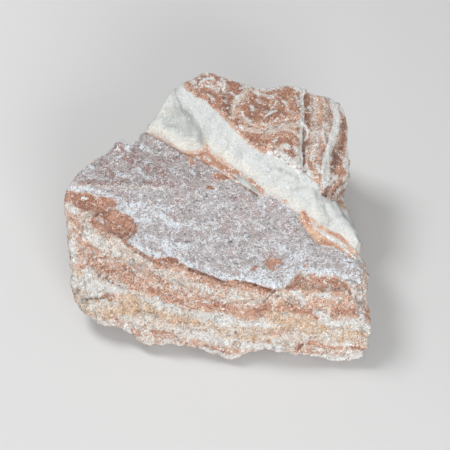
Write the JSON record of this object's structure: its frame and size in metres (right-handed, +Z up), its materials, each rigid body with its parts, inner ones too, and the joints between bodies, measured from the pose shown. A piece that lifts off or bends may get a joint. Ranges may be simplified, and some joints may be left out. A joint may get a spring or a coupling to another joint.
{
  "type": "raw aragonite stone",
  "caption": "Raw chunk of banded aragonite, broken on every side, with a flat bedding face, a white sloping layer and a red-brown crust. It lies on its flattest break.",
  "frame": {"origin": "middle of the bounding box, on the surface that the stone rests on", "axes": "+Z up; +X to the right along the stone's length, seen from its banded front; -Y out of the banded front"},
  "size_m": [0.116, 0.1095, 0.051],
  "materials": {
    "banded_aragonite": "matt broken stone in beds of orange-brown, tan and white, with a sugary grey-mauve skin"
  },
  "bodies": {
    "root": {"aragonite": "banded_aragonite"}
  },
  "joints": []
}
